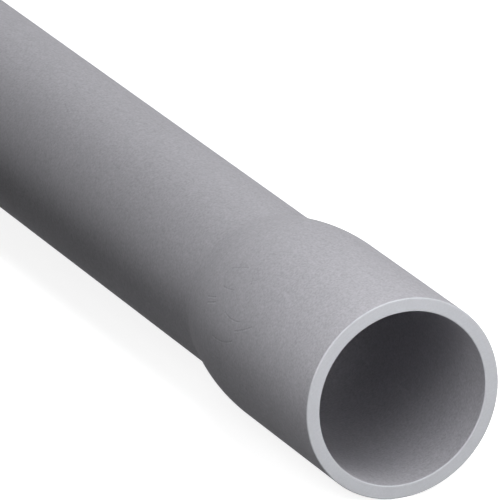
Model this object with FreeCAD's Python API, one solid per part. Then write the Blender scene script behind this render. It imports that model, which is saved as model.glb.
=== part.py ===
"""Rigid PVC conduit, one straight length with a belled end, lying on a level surface.

The pipe lies along X. Its bell, the socket that takes the plain end of the next length, opens
towards +X. The origin is at the bottom centre of the overall box, so Z = 0 is the surface that the
bell rests on, and the pipe's axis runs one bell radius above it.

It is one extruded piece. The bell was formed from the pipe's own end, which was heated and pushed
over a mandrel, so its wall is the pipe's wall spread thinner over a larger circle.
"""

import FreeCAD
import Part

import os
from math import atan2, cos, sin

# Driving dimensions, in millimetres. The pipe is trade size 2 inch (metric size 53), Schedule 80.
PIPE_OUTSIDE_DIAMETER = 60.33
PIPE_WALL = 5.54
OVERALL_LENGTH = 3048.0

BELL_WALL = 4.70
SOCKET_CLEARANCE = 0.12
SOCKET_DEPTH = 70.0
FLARE_LENGTH = 34.0
NECK_BEND_RADIUS = 3.0
EDGE_BREAK = 0.40

# Radii that follow from them. The socket is made to fit the outside of the pipe.
PIPE_RADIUS = PIPE_OUTSIDE_DIAMETER / 2
BORE_RADIUS = PIPE_RADIUS - PIPE_WALL
SOCKET_RADIUS = PIPE_RADIUS + SOCKET_CLEARANCE
BELL_RADIUS = SOCKET_RADIUS + BELL_WALL

# Places along the pipe, from the plain end to the bell's mouth.
PLAIN_END_X = -OVERALL_LENGTH / 2
MOUTH_X = OVERALL_LENGTH / 2
SOCKET_BOTTOM_X = MOUTH_X - SOCKET_DEPTH
NECK_X = SOCKET_BOTTOM_X - FLARE_LENGTH

AXIS_HEIGHT = BELL_RADIUS


def section_point(x, radius):
    """A point of the half section: x along the pipe, radius out from its axis."""
    return FreeCAD.Vector(x, 0, AXIS_HEIGHT + radius)


def straight(start, end):
    """A straight edge of the half section."""
    return Part.LineSegment(section_point(*start), section_point(*end)).toShape()


def flare(neck_radius, socket_radius, neck_bend_radius):
    """The two tangent arcs by which a wall opens from the pipe to the bell.

    The first arc bends outwards at the neck. The second bends back and runs into the bell. The
    angle that both turn through follows from the rise of the wall over the flare's length.
    """
    rise = socket_radius - neck_radius
    turn = 2 * atan2(rise, FLARE_LENGTH)
    shoulder_bend_radius = FLARE_LENGTH / sin(turn) - neck_bend_radius

    def on_neck_bend(angle):
        return section_point(
            NECK_X + neck_bend_radius * sin(angle),
            neck_radius + neck_bend_radius * (1 - cos(angle)),
        )

    def on_shoulder_bend(angle):
        return section_point(
            SOCKET_BOTTOM_X - shoulder_bend_radius * sin(angle),
            socket_radius - shoulder_bend_radius * (1 - cos(angle)),
        )

    neck_bend = Part.Arc(on_neck_bend(0), on_neck_bend(turn / 2), on_neck_bend(turn))
    shoulder_bend = Part.Arc(
        on_neck_bend(turn), on_shoulder_bend(turn / 2), on_shoulder_bend(0)
    )
    return [neck_bend.toShape(), shoulder_bend.toShape()]


def outside_edges():
    """The outside of the wall, from the plain end to the mouth, with a broken edge at each end."""
    return [
        straight(
            (PLAIN_END_X, PIPE_RADIUS - EDGE_BREAK),
            (PLAIN_END_X + EDGE_BREAK, PIPE_RADIUS),
        ),
        straight((PLAIN_END_X + EDGE_BREAK, PIPE_RADIUS), (NECK_X, PIPE_RADIUS)),
        *flare(PIPE_RADIUS, BELL_RADIUS, NECK_BEND_RADIUS),
        straight((SOCKET_BOTTOM_X, BELL_RADIUS), (MOUTH_X - EDGE_BREAK, BELL_RADIUS)),
        straight(
            (MOUTH_X - EDGE_BREAK, BELL_RADIUS), (MOUTH_X, BELL_RADIUS - EDGE_BREAK)
        ),
    ]


def inside_edges():
    """The inside of the wall: the bore, its flare and the socket."""
    return [
        straight(
            (PLAIN_END_X, BORE_RADIUS + EDGE_BREAK),
            (PLAIN_END_X + EDGE_BREAK, BORE_RADIUS),
        ),
        straight((PLAIN_END_X + EDGE_BREAK, BORE_RADIUS), (NECK_X, BORE_RADIUS)),
        *flare(BORE_RADIUS, SOCKET_RADIUS, NECK_BEND_RADIUS + PIPE_WALL),
        straight(
            (SOCKET_BOTTOM_X, SOCKET_RADIUS), (MOUTH_X - EDGE_BREAK, SOCKET_RADIUS)
        ),
        straight(
            (MOUTH_X - EDGE_BREAK, SOCKET_RADIUS), (MOUTH_X, SOCKET_RADIUS + EDGE_BREAK)
        ),
    ]


def end_faces():
    """The two ends, sawn square to the pipe."""
    return [
        straight(
            (PLAIN_END_X, BORE_RADIUS + EDGE_BREAK),
            (PLAIN_END_X, PIPE_RADIUS - EDGE_BREAK),
        ),
        straight(
            (MOUTH_X, SOCKET_RADIUS + EDGE_BREAK), (MOUTH_X, BELL_RADIUS - EDGE_BREAK)
        ),
    ]


def conduit_pipe():
    """The whole pipe: its half section, turned once round its axis."""
    edges = outside_edges() + inside_edges() + end_faces()
    section = Part.Face(Part.Wire(Part.__sortEdges__(edges)))
    pipe = section.revolve(section_point(0, 0), FreeCAD.Vector(1, 0, 0), 360)
    return pipe if isinstance(pipe, Part.Solid) else pipe.Solids[0]


def main():
    pipe = conduit_pipe()
    os.makedirs("parts", exist_ok=True)
    pipe.exportStep("parts/conduit_pipe.step")
    box = pipe.BoundBox
    print("valid", pipe.isValid(), "volume", round(pipe.Volume), "mm3")
    print("size", round(box.XLength, 2), round(box.YLength, 2), round(box.ZLength, 2))


main()
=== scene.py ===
# %% [markdown]
# # A length of grey PVC conduit
#
# Electricians run wires through rigid grey tube like this. It is sold in straight lengths with one
# end belled out, so that the plain end of the next length pushes into it and is glued there. This
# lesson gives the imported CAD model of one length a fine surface, a plastic finish, soft studio
# light and a camera that looks at the belled end.

from math import atan2, cos, pi, radians, sin

import bpy
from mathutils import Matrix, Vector


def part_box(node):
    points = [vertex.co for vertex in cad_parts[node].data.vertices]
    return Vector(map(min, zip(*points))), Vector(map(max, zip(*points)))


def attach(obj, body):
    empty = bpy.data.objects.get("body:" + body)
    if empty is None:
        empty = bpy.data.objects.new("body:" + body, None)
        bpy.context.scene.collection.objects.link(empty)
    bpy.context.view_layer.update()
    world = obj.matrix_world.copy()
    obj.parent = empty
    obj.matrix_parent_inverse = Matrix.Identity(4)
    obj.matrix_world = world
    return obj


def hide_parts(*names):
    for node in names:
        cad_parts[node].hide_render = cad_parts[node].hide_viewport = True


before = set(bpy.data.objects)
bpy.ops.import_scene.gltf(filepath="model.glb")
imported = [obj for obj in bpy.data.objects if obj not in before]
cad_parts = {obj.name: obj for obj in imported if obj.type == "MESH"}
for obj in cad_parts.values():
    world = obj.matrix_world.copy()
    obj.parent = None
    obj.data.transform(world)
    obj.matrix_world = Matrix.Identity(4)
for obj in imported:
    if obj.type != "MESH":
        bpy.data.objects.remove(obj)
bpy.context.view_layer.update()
pipe_low, pipe_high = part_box("conduit_pipe")
print("pipe box in metres", tuple(pipe_low), tuple(pipe_high))

# %% [markdown]
# ## The pipe's sizes
#
# The tube is trade size 2 inch with a heavy wall. Its bell was made by heating the end and pushing
# it over a mandrel, so the wall there is a little thinner and the socket just takes the outside of
# the next length. The length and the height of the axis are read from the CAD model's box, and the
# rest is written here in metres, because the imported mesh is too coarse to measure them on. The
# bend at the neck is eased to 12 mm: hot plastic doesn't crease, and a tighter bend would catch
# the light as a thin line, though it moves the surface by only a tenth of a millimetre.

# %% Name the sizes
PIPE_RADIUS = 0.030165
PIPE_WALL = 0.00554
SOCKET_CLEARANCE = 0.00012
BELL_WALL = 0.0047
SOCKET_DEPTH = 0.070
FLARE_LENGTH = 0.034
NECK_BEND = 0.012
EDGE_ROUND = 0.0004

BORE_RADIUS = PIPE_RADIUS - PIPE_WALL
SOCKET_RADIUS = PIPE_RADIUS + SOCKET_CLEARANCE
BELL_RADIUS = SOCKET_RADIUS + BELL_WALL

PLAIN_END = pipe_low.x
MOUTH = pipe_high.x
SOCKET_BOTTOM = MOUTH - SOCKET_DEPTH
NECK = SOCKET_BOTTOM - FLARE_LENGTH
AXIS_HEIGHT = pipe_high.z - BELL_RADIUS
print("bell radius", round(BELL_RADIUS, 6), "axis height", round(AXIS_HEIGHT, 6))

# %% [markdown]
# ## The outline of the wall
#
# Everything round that came off an extruder or a mandrel is one outline turned about an axis. The
# outline is a list of points, each a place along the pipe and a radius, that runs up the outside,
# over the rim, down through the socket and the bore, and back round the plain end. The flare is
# two arcs that meet in line with each other: a tight one at the neck, where the pipe bends out,
# and a long one that leads into the bell. A saw leaves a small break on every edge, and a turned
# outline makes those for nothing, where a bevel on a finished cylinder would need selecting.

# %% Draw the flare and the broken edges
FLARE_STEPS = 24
EDGE_STEPS = 5


def flare(neck_radius, bell_radius, neck_bend):
    """Points from the neck to the bell along the two arcs of the flare."""
    turn = 2 * atan2(bell_radius - neck_radius, FLARE_LENGTH)
    shoulder_bend = FLARE_LENGTH / sin(turn) - neck_bend
    steps = [turn * step / FLARE_STEPS for step in range(FLARE_STEPS + 1)]
    out = [(NECK + neck_bend * sin(a), neck_radius + neck_bend * (1 - cos(a))) for a in steps]
    back = [
        (SOCKET_BOTTOM - shoulder_bend * sin(a), bell_radius - shoulder_bend * (1 - cos(a)))
        for a in reversed(steps)
    ]
    return out + back[1:]


def broken_edge(x, radius, x_side, radius_side, face_first):
    """Points round one end's edge. The sides say which way the pipe and the wall lie from it."""
    across, out = x_side * EDGE_ROUND, radius_side * EDGE_ROUND
    steps = [pi / 2 * step / EDGE_STEPS for step in range(EDGE_STEPS + 1)]
    points = [(x + across * (1 - cos(a)), radius + out * (1 - sin(a))) for a in steps]
    return points if face_first else points[::-1]


# %% [markdown]
# A ring of points close to each bend keeps the long flat stretches flat: smooth shading averages
# the directions of neighbouring faces, and without those rings the bend's shading would bleed
# along the whole bell.

# %% Join the outline
HOLD = 0.00025


def wall_outline():
    """The closed outline in four stretches of points, each with whether it is a sawn end."""
    outside = [
        (PLAIN_END + EDGE_ROUND + HOLD, PIPE_RADIUS),
        (NECK - HOLD, PIPE_RADIUS),
        *flare(PIPE_RADIUS, BELL_RADIUS, NECK_BEND),
        (SOCKET_BOTTOM + HOLD, BELL_RADIUS),
        (MOUTH - EDGE_ROUND - HOLD, BELL_RADIUS),
    ]
    mouth = [
        *broken_edge(MOUTH, BELL_RADIUS, -1, -1, face_first=False),
        (MOUTH, BELL_RADIUS - EDGE_ROUND - HOLD),
        (MOUTH, SOCKET_RADIUS + EDGE_ROUND + HOLD),
        *broken_edge(MOUTH, SOCKET_RADIUS, -1, 1, face_first=True),
    ]
    inside = [
        (MOUTH - EDGE_ROUND - HOLD, SOCKET_RADIUS),
        (SOCKET_BOTTOM + HOLD, SOCKET_RADIUS),
        *reversed(flare(BORE_RADIUS, SOCKET_RADIUS, NECK_BEND + PIPE_WALL)),
        (NECK - HOLD, BORE_RADIUS),
        (PLAIN_END + EDGE_ROUND + HOLD, BORE_RADIUS),
    ]
    plain_end = [
        *broken_edge(PLAIN_END, BORE_RADIUS, 1, 1, face_first=False),
        (PLAIN_END, BORE_RADIUS + EDGE_ROUND + HOLD),
        (PLAIN_END, PIPE_RADIUS - EDGE_ROUND - HOLD),
        *broken_edge(PLAIN_END, PIPE_RADIUS, 1, -1, face_first=True),
    ]
    return [(outside, False), (mouth, True), (inside, False), (plain_end, True)]


stretches = wall_outline()
outline = [point for stretch, is_cut in stretches for point in stretch]
cut_points = [is_cut for stretch, is_cut in stretches for point in stretch]
print("outline", len(outline), "points")

# %% [markdown]
# ## Turn the outline
#
# The outline is copied round the axis and neighbouring copies are joined with four-sided faces.
# 256 copies keep the mouth's edge round where the camera is close. The faces of the two sawn ends
# take a second material, because a fresh cut looks different from the skin of the pipe.

# %% Build the pipe's mesh
COPIES = 256


def turned_mesh(name):
    """The outline turned once round the pipe's axis, as a mesh of four-sided faces."""
    count = len(outline)
    corners, faces, sawn = [], [], []
    for copy in range(COPIES):
        a = 2 * pi * copy / COPIES
        corners += [(x, r * sin(a), AXIS_HEIGHT + r * cos(a)) for x, r in outline]
    for copy in range(COPIES):
        here, beyond = copy * count, (copy + 1) % COPIES * count
        for i in range(count):
            j = (i + 1) % count
            faces.append((here + i, here + j, beyond + j, beyond + i))
            sawn.append(int(cut_points[i] and cut_points[j]))
    mesh = bpy.data.meshes.new(name)
    mesh.from_pydata(corners, [], faces)
    mesh.polygons.foreach_set("material_index", sawn)
    mesh.shade_smooth()
    mesh.validate()
    return mesh


pipe = bpy.data.objects.new("pvc_pipe", turned_mesh("pvc_pipe"))
bpy.context.collection.objects.link(pipe)
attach(pipe, "root")
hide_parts("conduit_pipe")
print("pipe", len(pipe.data.vertices), "points", len(pipe.data.polygons), "faces")

# %% [markdown]
# ## Sums on sockets
#
# A finish is mostly arithmetic on noise. It could be wired up by hand in the shader editor, but
# written as sums it stays readable. The class holds one output socket, and each operator adds the
# Math node that does it. Every other node comes from `add_node`, which takes the node's type, its
# settings, and the values or wires for its sockets, and gives back its outputs by name.

# %% A socket that can do sums


class Wire:
    """An output socket that Python's operators work on."""

    def __init__(self, socket):
        self.socket = socket
        self.tree = socket.id_data

    def __add__(self, other):
        return maths("ADD", self, other)

    def __sub__(self, other):
        return maths("SUBTRACT", self, other)

    def __rsub__(self, other):
        return maths("SUBTRACT", other, self)

    def __mul__(self, other):
        return maths("MULTIPLY", self, other)

    __radd__ = __add__
    __rmul__ = __mul__


def add_node(tree, kind, settings=None, sockets=None):
    """Adds a node: first its settings, then its sockets, by number or by name."""
    made = tree.nodes.new(kind)
    for name, value in (settings or {}).items():
        setattr(made, name, value)
    shown = {socket.name: socket for socket in reversed(made.inputs) if socket.enabled}
    for name, value in (sockets or {}).items():
        socket = made.inputs[name] if isinstance(name, int) else shown[name]
        if isinstance(value, Wire):
            tree.links.new(value.socket, socket)
        else:
            socket.default_value = value
    return {socket.name: Wire(socket) for socket in made.outputs if socket.enabled}


def maths(operation, *values, kind="ShaderNodeMath"):
    """One Math node on wires and plain numbers."""
    tree = next(value.tree for value in values if isinstance(value, Wire))
    outputs = add_node(tree, kind, {"operation": operation}, dict(enumerate(values)))
    return next(iter(outputs.values()))


def vector_maths(operation, *values):
    """One Vector Math node on wires, vectors and colours."""
    return maths(operation, *values, kind="ShaderNodeVectorMath")


# %% [markdown]
# ## Three helpers for finishes
#
# Noise gives random blobs of a chosen size. A fade turns a distance into a soft-edged mask. A
# blend goes from one colour to another, because a Math node would turn a colour grey.

# %% Noise, fade and blend


def noise(place, size, **sockets):
    """Random blobs about `size` across, between 0 and 1 and mostly near 0.5."""
    return add_node(
        place.tree, "ShaderNodeTexNoise", {}, {"Vector": place, "Scale": 1 / size, **sockets}
    )["Fac"]


def fade(value, full, gone):
    """1 where the value is at most `full`, 0 from `gone` on, and smooth between them."""
    return add_node(
        value.tree,
        "ShaderNodeMapRange",
        {"interpolation_type": "SMOOTHSTEP"},
        {"Value": value, "From Min": full, "From Max": gone, "To Min": 1, "To Max": 0},
    )["Result"]


def blend(share, first, second):
    """A colour between two others: the first at share 0, the second at share 1."""
    sockets = {"Factor": share, "A": first, "B": second}
    return add_node(share.tree, "ShaderNodeMix", {"data_type": "RGBA"}, sockets)["Result"]


# %% [markdown]
# ## Start a finish
#
# Both finishes of the pipe are one rigid plastic: no metal, no coat, and a weak, wide gloss,
# because the filler in the compound leaves the surface slightly rough. What is the same everywhere
# is set on the shader itself. The `place` is the object's own coordinates, so the finish stays on
# the pipe.

# %% Make an empty plastic
GLOSS_LEVEL = 0.2


def plastic(name):
    """A new material: the material, its Principled shader, and the place wire to build on."""
    material = bpy.data.materials.new(name)
    material.use_nodes = True
    tree = material.node_tree
    shader = tree.nodes["Principled BSDF"]
    shader.inputs["Specular IOR Level"].default_value = GLOSS_LEVEL
    place = add_node(tree, "ShaderNodeTexCoord")["Object"]
    return material, shader, place


def finish_with(shader, colour, roughness, height):
    """Links a colour, a roughness and a height in millimetres to the shader."""
    tree = shader.id_data
    bump = add_node(tree, "ShaderNodeBump", {}, {"Distance": 0.001, "Height": height})["Normal"]
    for socket, wire in (("Base Color", colour), ("Roughness", roughness), ("Normal", bump)):
        tree.links.new(wire.socket, shader.inputs[socket])


skin, skin_shader, skin_place = plastic("grey_pvc_skin")
sawn, sawn_shader, sawn_place = plastic("grey_pvc_sawn")
for material in (skin, sawn):
    pipe.data.materials.append(material)
print("materials", [material.name for material in pipe.data.materials])

# %% [markdown]
# ## The skin's speckle
#
# Seen close, extruded PVC isn't one grey. The chalk and pigment in the compound make a speckle of
# under a millimetre, and the cooling makes pale and dark clouds some centimetres wide. The die
# also drew faint lines along the pipe. A painted picture would need unwrapping, so this is noise
# in space: for the drawn lines, the place is squeezed along X before the noise reads it.

# %% Speckle, clouds and drawn lines
SPECKLE_SIZE, MOTTLE_SIZE, CLOUD_SIZE, LINE_SIZE = 0.0008, 0.0028, 0.022, 0.0025

speckle = noise(skin_place, SPECKLE_SIZE, Detail=1.0)
mottle = noise(skin_place, MOTTLE_SIZE, Detail=2.0)
clouds = noise(skin_place, CLOUD_SIZE, Detail=3.0)
drawn_place = vector_maths("MULTIPLY", skin_place, (0.01, 1, 1))
drawn_lines = noise(drawn_place, LINE_SIZE, Detail=1.0)
print("speckle", SPECKLE_SIZE * 1000, "mm, clouds", CLOUD_SIZE * 1000, "mm")

# %% [markdown]
# ## Unrolling the skin
#
# Scratches lie on the skin as on paper, so they are drawn on the unrolled pipe. One direction is
# the distance behind the mouth and the other is the distance round from the top, both in
# millimetres. The seam of the unrolled sheet is underneath, where the pipe lies on the floor.

# %% Distances along and round the pipe
BELL_MM = BELL_RADIUS * 1000

split = add_node(skin.node_tree, "ShaderNodeSeparateXYZ", {}, {"Vector": skin_place})
behind_mouth = (MOUTH - split["X"]) * 1000
angle = maths("ARCTAN2", split["Y"], split["Z"] - AXIS_HEIGHT)
unrolled = add_node(
    skin.node_tree, "ShaderNodeCombineXYZ", {}, {"X": behind_mouth, "Y": angle * BELL_MM}
)["Vector"]
print("one turn of the bell is", round(2 * pi * BELL_MM, 1), "mm")

# %% [markdown]
# ## Scratches that can be seen one by one
#
# Lengths of pipe knock together on the truck. On this one, a few short curved scratches sit on the
# side of the bell, and a few shallower ones lie farther back. Each is an arc through three points,
# written as millimetres behind the mouth and degrees from the top. They could be cut into the
# mesh, but they are a hair wide, so the shader measures how far a place is from the nearest arc.
# Arcs bend smoothly and cost six nodes each, where straight stretches would cost as much for every
# stretch.

# %% Draw the scratches
SCRATCHES = [
    ((67.2, -69.1), (62.0, -69.9), (56.0, -68.2)),
    ((71.5, -85.4), (65.6, -84.7), (57.3, -79.7)),
    ((58.7, -75.0), (53.0, -71.1), (48.8, -67.4)),
    ((82.8, -67.7), (80.0, -66.6), (77.2, -65.3)),
    ((81.7, -70.7), (79.0, -69.3), (76.1, -67.6)),
    ((78.4, -47.2), (74.0, -44.4), (69.5, -41.3)),
    ((63.9, -42.0), (63.1, -45.1), (61.7, -47.8)),
    ((75.0, -57.7), (71.8, -57.2), (68.4, -55.9)),
    ((251.4, -8.0), (240.0, -12.2), (222.7, -12.4)),
    ((243.5, -23.5), (239.8, -26.2), (235.5, -28.2)),
    ((190.9, -36.9), (187.1, -37.9), (183.0, -38.2)),
]
SCRATCH_CORE, SCRATCH_EDGE = 0.2, 0.75
RAGGED = 0.5
DEEP_UNTIL, SHALLOW_FROM = 100, 180


def on_sheet(millimetres, degrees):
    """A point of the unrolled skin, as a complex number."""
    return complex(millimetres, radians(degrees) * BELL_MM)


def distance_to_arc(start, middle, end):
    """Millimetres from each place on the skin to the arc from start to end by way of middle."""
    turn = (end - start) / (middle - start)
    centre = start + (middle - start) * (turn - abs(turn) ** 2) / (turn - turn.conjugate())
    radius, half_length = abs(start - centre), abs(end - start) / 2
    off_circle = maths(
        "ABSOLUTE", vector_maths("DISTANCE", unrolled, (centre.real, centre.imag, 0)) - radius
    )
    past_end = vector_maths("DISTANCE", unrolled, (middle.real, middle.imag, 0)) - half_length
    return maths("MAXIMUM", off_circle, past_end)


nearest = distance_to_arc(*(on_sheet(*point) for point in SCRATCHES[0]))
for arc in SCRATCHES[1:]:
    nearest = maths("MINIMUM", nearest, distance_to_arc(*(on_sheet(*point) for point in arc)))
depth = 0.5 + fade(behind_mouth, DEEP_UNTIL, SHALLOW_FROM) * 0.5
scratch = fade(nearest + mottle * RAGGED, SCRATCH_CORE, SCRATCH_EDGE) * depth
print(len(SCRATCHES), "scratches")

# %% [markdown]
# ## Hairline scuffs everywhere
#
# The rest of the pipe has scuffs too faint to place one by one. Voronoi noise cuts the unrolled
# skin into random cells and gives each a centre and a random colour. Those are the dice: one
# number turns the scuff, one bends it, and one sets its length, so that some cells get almost
# none.

# %% Scatter the scuffs
SCUFF_SPACING = 30
SCUFF_LENGTH = 9
SCUFF_BEND = 0.06
SCUFF_CORE, SCUFF_EDGE = 0.1, 0.45

cells = add_node(
    skin.node_tree,
    "ShaderNodeTexVoronoi",
    {"voronoi_dimensions": "2D"},
    {"Vector": unrolled, "Scale": 1 / SCUFF_SPACING},
)
dice = add_node(skin.node_tree, "ShaderNodeSeparateColor", {}, {"Color": cells["Color"]})
turned = add_node(
    skin.node_tree,
    "ShaderNodeVectorRotate",
    {"rotation_type": "Z_AXIS"},
    {
        "Vector": vector_maths("SUBTRACT", unrolled, cells["Position"]),
        "Angle": dice["Red"] * (2 * pi),
    },
)["Vector"]
scuff = add_node(skin.node_tree, "ShaderNodeSeparateXYZ", {}, {"Vector": turned})
bend = scuff["X"] * scuff["X"] * (dice["Green"] - 0.5) * SCUFF_BEND
across = maths("ABSOLUTE", scuff["Y"] + bend)
along = maths("ABSOLUTE", scuff["X"])
half_length = dice["Blue"] * dice["Blue"] * SCUFF_LENGTH
hairline = fade(across, SCUFF_CORE, SCUFF_EDGE) * fade(along, 0, half_length)
print("a scuff about every", SCUFF_SPACING, "mm")

# %% [markdown]
# ## Finish the skin
#
# The pieces meet here. Their sum picks a grey between a dark and a light one, and the measured
# grey of this pipe lies halfway. Scratches are a little darker than the skin, and in the height
# they are grooves, so one side of each catches the light. The heights are in millimetres. All of
# it is weak: the pipe looks plain from a step away, and only close up like plastic that has been
# handled.

# %% Mix the grey
SKIN_DARK = (0.330, 0.326, 0.351, 1)
SKIN_LIGHT = (0.496, 0.490, 0.527, 1)
SKIN_ROUGHNESS, ROUGHNESS_RANGE = 0.72, 0.06
SPECKLE_HEIGHT, LINE_HEIGHT = 0.005, 0.002
SCRATCH_DEPTH, HAIRLINE_DEPTH = 0.06, 0.02

tone = (
    0.5
    + (speckle - 0.5) * 1.3
    + (mottle - 0.5) * 0.4
    + (clouds - 0.5) * 0.2
    + (drawn_lines - 0.5) * 0.06
    - scratch * 0.3
    - hairline * 0.14
)
bumps = speckle * SPECKLE_HEIGHT + drawn_lines * LINE_HEIGHT
height = bumps - scratch * SCRATCH_DEPTH - hairline * HAIRLINE_DEPTH
grey = blend(tone, SKIN_DARK, SKIN_LIGHT)
finish_with(skin_shader, grey, SKIN_ROUGHNESS + clouds * ROUGHNESS_RANGE, height)
print("skin", len(skin.node_tree.nodes), "nodes")

# %% [markdown]
# ## The sawn ends
#
# A round blade cuts the pipe to length after the bell is formed. It bares the inside of the
# plastic, which is paler than the skin, and its teeth leave faint arcs round the middle of the
# blade. So the arcs are noise of one number, the distance from a point well below the pipe. The
# edges were broken with a scraper, and a thin band along each is painted lighter as a highlight.

# %% Saw marks and painted edge highlights
SAWN_DARK = (0.442, 0.450, 0.477, 1)
SAWN_LIGHT = (0.588, 0.598, 0.634, 1)
SAWN_ROUGHNESS = 0.78
BLADE_MIDDLE = (0.09, -0.12)
TOOTH_MARK = 0.0005
SAWN_CLOUD_SIZE, SAWN_SPECKLE_SIZE = 0.006, 0.0007
# Widths of the painted highlight along the edges of the cut, in metres.
EDGE_HIGHLIGHT, EDGE_HIGHLIGHT_END = 0.0002, 0.0007
TOOTH_HEIGHT, SAWN_SPECKLE_HEIGHT = 0.004, 0.003

cut = add_node(sawn.node_tree, "ShaderNodeSeparateXYZ", {}, {"Vector": sawn_place})
cut_place = add_node(
    sawn.node_tree, "ShaderNodeCombineXYZ", {}, {"X": cut["Y"], "Y": cut["Z"]}
)["Vector"]
from_blade = vector_maths("DISTANCE", cut_place, (*BLADE_MIDDLE, 0))
tooth_arcs = add_node(
    sawn.node_tree,
    "ShaderNodeTexNoise",
    {"noise_dimensions": "1D"},
    {"W": from_blade, "Scale": 1 / TOOTH_MARK, "Detail": 2.0},
)["Fac"]
from_axis = vector_maths("DISTANCE", cut_place, (0, AXIS_HEIGHT, 0))
# Painted highlight: a thin band of lighter colour along the outer and inner edges of the cut.
outer_edge_highlight = fade(BELL_RADIUS - from_axis, EDGE_HIGHLIGHT, EDGE_HIGHLIGHT_END)
inner_edge_highlight = fade(from_axis - SOCKET_RADIUS, EDGE_HIGHLIGHT, EDGE_HIGHLIGHT_END)
sawn_clouds = noise(sawn_place, SAWN_CLOUD_SIZE, Detail=3.0)
sawn_speckle = noise(sawn_place, SAWN_SPECKLE_SIZE, Detail=1.0)

sawn_tone = (
    0.6
    + (sawn_clouds - 0.5) * 0.35
    + (sawn_speckle - 0.5) * 0.4
    + (tooth_arcs - 0.5) * 0.25
    + outer_edge_highlight * 0.06
    + inner_edge_highlight * 0.06
)
sawn_height = tooth_arcs * TOOTH_HEIGHT + sawn_speckle * SAWN_SPECKLE_HEIGHT
sawn_grey = blend(sawn_tone, SAWN_DARK, SAWN_LIGHT)
sawn_roughness = SAWN_ROUGHNESS + sawn_clouds * ROUGHNESS_RANGE
finish_with(sawn_shader, sawn_grey, sawn_roughness, sawn_height)
print("sawn ends", len(sawn.node_tree.nodes), "nodes")

# %% [markdown]
# ## What the camera sees behind the pipe
#
# The studio is white to the camera, but a floor of real white paper would throw so much light back
# up that the pipe's underside would lose its shade. Light Path tells the two apart: rays that the
# camera sees, straight or in a gloss, get the white, and light that bounces gets a dim grey. The
# floor glows a little below white and has some of its own colour, so the pipe's shadow still
# shows.

# %% Lay the floor
FLOOR_SIZE = 120
FLOOR_ROUGHNESS = 0.9
GLOW = (0.86, 0.86, 0.86, 1)
NO_GLOW = (0, 0, 0, 1)
SEEN_FLOOR = (0.5, 0.5, 0.5, 1)
DIM_FLOOR = (0.05, 0.05, 0.05, 1)


def seen_rays(tree):
    """1 for rays that end in the picture: from the camera, by a gloss or through glass."""
    rays = add_node(tree, "ShaderNodeLightPath")
    return rays["Is Camera Ray"] + rays["Is Glossy Ray"] + rays["Is Transmission Ray"]


bpy.ops.mesh.primitive_plane_add(size=FLOOR_SIZE)
floor = bpy.context.object
floor.name = "floor"
floor_finish = bpy.data.materials.new("pale_floor")
floor_finish.use_nodes = True
floor.data.materials.append(floor_finish)
floor_tree = floor_finish.node_tree
floor_shader = floor_tree.nodes["Principled BSDF"]
floor_shader.inputs["Roughness"].default_value = FLOOR_ROUGHNESS
floor_shader.inputs["Emission Strength"].default_value = 1
seen = seen_rays(floor_tree)
for name, colour in (
    ("Base Color", blend(seen, DIM_FLOOR, SEEN_FLOOR)),
    ("Emission Color", blend(seen, NO_GLOW, GLOW)),
):
    floor_tree.links.new(colour.socket, floor_shader.inputs[name])
print("floor", FLOOR_SIZE, "m across")

# %% [markdown]
# The air beyond the floor plays the same trick: white where it is seen, and a weak even light
# where it falls on the pipe. Without it, the deepest shade would be pure black, which no room has.

# %% Fill the room with dim air
WHITE = (1, 1, 1, 1)
DIM_AIR = (0.006, 0.006, 0.006, 1)

air = bpy.data.worlds.new("studio_air")
bpy.context.scene.world = air
air.use_nodes = True
air.node_tree.nodes.clear()
background = add_node(
    air.node_tree,
    "ShaderNodeBackground",
    {},
    {"Color": blend(seen_rays(air.node_tree), DIM_AIR, WHITE)},
)["Background"]
add_node(air.node_tree, "ShaderNodeOutputWorld", {}, {"Surface": background})
print("air light", DIM_AIR[0])

# %% [markdown]
# ## The lamps
#
# The picture has one soft light from above. Over a pipe three metres long, that takes strip
# softboxes longer than the pipe: one above it, one lower and a little to the camera's side, and a
# wide one behind that keeps the far side from going black. A bare strip would also light the back
# of the flare from two metres away and draw a bright line at the neck, so each has a grid of cells
# in front, as a studio strip has, and its light spreads less. Small boxes near the mouth do what
# white card does round a small object: they light the bell and the cut, and reach a little way
# into the socket. One at the plain end does the same for whoever looks from there.

# %% Place the softboxes
MOUTH_CENTRE = Vector((MOUTH, 0, AXIS_HEIGHT))
PLAIN_END_CENTRE = Vector((PLAIN_END, 0, AXIS_HEIGHT))
STRIP_LENGTH = 4.6


def softbox(name, place, aim, width, height, watts, spread=180):
    """A rectangular lamp that the camera doesn't see, facing a point. The spread is in degrees."""
    lamp = bpy.data.lights.new(name, "AREA")
    lamp.shape = "RECTANGLE"
    lamp.size, lamp.size_y = width, height
    lamp.energy = watts
    lamp.spread = radians(spread)
    box = bpy.data.objects.new(name, lamp)
    box.location = place
    box.rotation_mode = "QUATERNION"
    box.rotation_quaternion = (Vector(aim) - Vector(place)).to_track_quat("-Z", "Y")
    box.visible_camera = False
    bpy.context.collection.objects.link(box)
    print(name, watts, "W")
    return box


def card(name, azimuth, elevation, distance, size, watts):
    """A small square box facing the mouth: azimuth 0 is in front of it, 90 is on its +Y side."""
    a, e = radians(azimuth), radians(elevation)
    place = MOUTH_CENTRE + distance * Vector((cos(a) * cos(e), sin(a) * cos(e), sin(e)))
    return softbox(name, place, MOUTH_CENTRE, size, size, watts)


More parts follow.
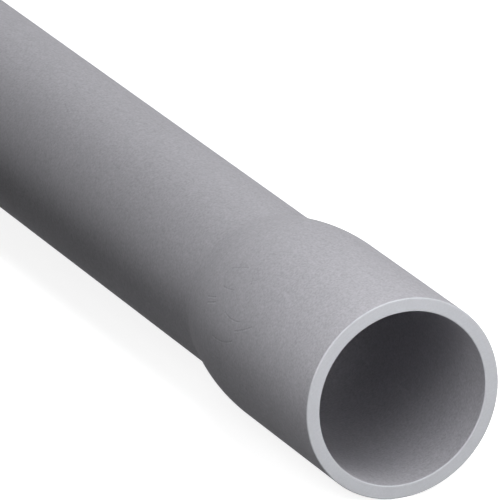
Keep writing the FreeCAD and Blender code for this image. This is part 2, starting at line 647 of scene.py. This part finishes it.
MIDDLE = Vector((0.2, 0, AXIS_HEIGHT))
softbox("overhead_strip", (0.2, 0, 0.5), MIDDLE, STRIP_LENGTH, 0.2, 1.24, spread=60)
softbox("low_strip", (0.2, -0.05, 0.3), MIDDLE, STRIP_LENGTH, 0.1, 0.86, spread=90)
softbox("back_strip", (0.2, 1.2, 1.0), MIDDLE, STRIP_LENGTH, 0.6, 6.52, spread=90)
card("card_above", 0, 90, 0.4, 0.25, 0.094)
card("card_camera_side", -60, 40, 0.22, 0.12, 0.215)
card("card_far_side", 15, 10, 0.3, 0.12, 0.49)
card("card_front", 0, 15, 0.22, 0.12, 0.052)
softbox("plain_end_card", (PLAIN_END - 0.3, 0.1, 0.25), PLAIN_END_CENTRE, 0.2, 0.2, 0.5)

# %% [markdown]
# ## The camera
#
# The picture was taken from some way off with a long lens: the pipe hardly narrows as it goes
# back. The lens, the direction and the distance were found by fitting the mouth's two ellipses and
# the pipe's edges. The mouth sits low and right of the middle, so the camera is moved sideways and
# up from the mouth instead of being turned, which would change the mouth's shape.

# %% Set up the camera
LENS, SENSOR_WIDTH = 621.57, 36
NEAREST_SEEN, FARTHEST_SEEN = 0.1, 200
VIEW_DISTANCE = 2.83084
MOUTH_RIGHT, MOUTH_DOWN = 0.05016, 0.04884
VIEW_DIRECTION = Vector((-0.84886, 0.40093, -0.34453)).normalized()

right = VIEW_DIRECTION.cross(Vector((0, 0, 1))).normalized()
up = right.cross(VIEW_DIRECTION)
camera_data = bpy.data.cameras.new("camera")
camera_data.lens = LENS
camera_data.sensor_width = SENSOR_WIDTH
camera_data.clip_start, camera_data.clip_end = NEAREST_SEEN, FARTHEST_SEEN
camera = bpy.data.objects.new("camera", camera_data)
facing_mouth = MOUTH_CENTRE - VIEW_DIRECTION * VIEW_DISTANCE
camera.location = facing_mouth - right * MOUTH_RIGHT + up * MOUTH_DOWN
camera.rotation_mode = "QUATERNION"
camera.rotation_quaternion = VIEW_DIRECTION.to_track_quat("-Z", "Y")
bpy.context.collection.objects.link(camera)
bpy.context.scene.camera = camera
bpy.context.scene.view_settings.view_transform = "Standard"
print("camera at", [round(value, 3) for value in camera.location])
